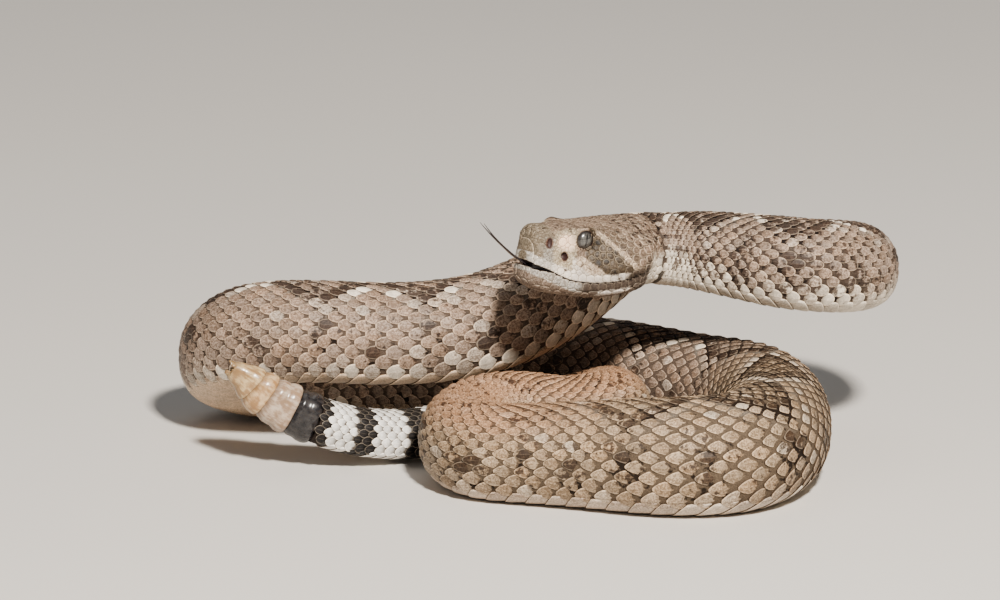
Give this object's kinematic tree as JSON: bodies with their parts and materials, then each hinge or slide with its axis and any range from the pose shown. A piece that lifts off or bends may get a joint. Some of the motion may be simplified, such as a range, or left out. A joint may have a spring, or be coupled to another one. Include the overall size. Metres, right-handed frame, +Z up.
{
  "type": "western diamondback rattlesnake, still life-size model",
  "caption": "Life-size still rattlesnake lying coiled with its neck raised in a loop, forked tongue out and banded tail with a horny rattle held up, resting flat on its belly.",
  "frame": {"origin": "centre of the footprint box at the level of the belly that rests on the floor", "axes": "+X along the longest side of the coil, away from the snout; +Y towards the back of the coil; +Z up from the floor"},
  "size_m": [0.242, 0.1676, 0.0913],
  "materials": {
    "body_skin": "dry keeled scales, grey brown with dark diamonds edged in white, pale along the belly",
    "dusty_skin": "the same scales under a warm sandy bloom of dust",
    "neck_skin": "finer keeled scales, brown above and white low on the sides",
    "head_skin": "small granular scales with pale cheek stripes and pale lip plates",
    "jaw_skin": "smooth pale lip plates over a tan chin",
    "tail_skin": "chalk white and black bands of keeled scales",
    "eye": "clear spectacle over a silver grey iris with an upright slit",
    "tongue": "moist black",
    "rattle_dark": "dark grey horn, faintly glossy",
    "rattle_cream": "cream, slightly translucent horn",
    "rattle_tan": "yellow tan horn, worn and chipped at the end"
  },
  "bodies": {
    "root": {"head": "head_skin", "lower_jaw": "jaw_skin", "neck_front": "neck_skin", "neck_loop_near": "neck_skin", "neck_loop_far": "neck_skin", "neck_back": "neck_skin", "torso_rise": "body_skin", "torso_left": "body_skin", "torso_left_bend_upper": "body_skin", "torso_left_bend_lower": "body_skin", "torso_under": "body_skin", "torso_ring_back": "body_skin", "torso_ring_side": "body_skin", "torso_ring_front": "dusty_skin", "torso_front": "dusty_skin", "torso_front_bend_near": "dusty_skin", "torso_front_bend_far": "dusty_skin", "torso_inner": "dusty_skin", "torso_inner_bend_near": "dusty_skin", "torso_inner_bend_far": "dusty_skin", "torso_back": "body_skin", "tail": "tail_skin", "eye_left": "eye", "eye_right": "eye", "tongue": "tongue", "rattle_base": "rattle_dark", "rattle_second": "rattle_cream", "rattle_third": "rattle_tan", "rattle_tip": "rattle_tan"}
  },
  "joints": []
}
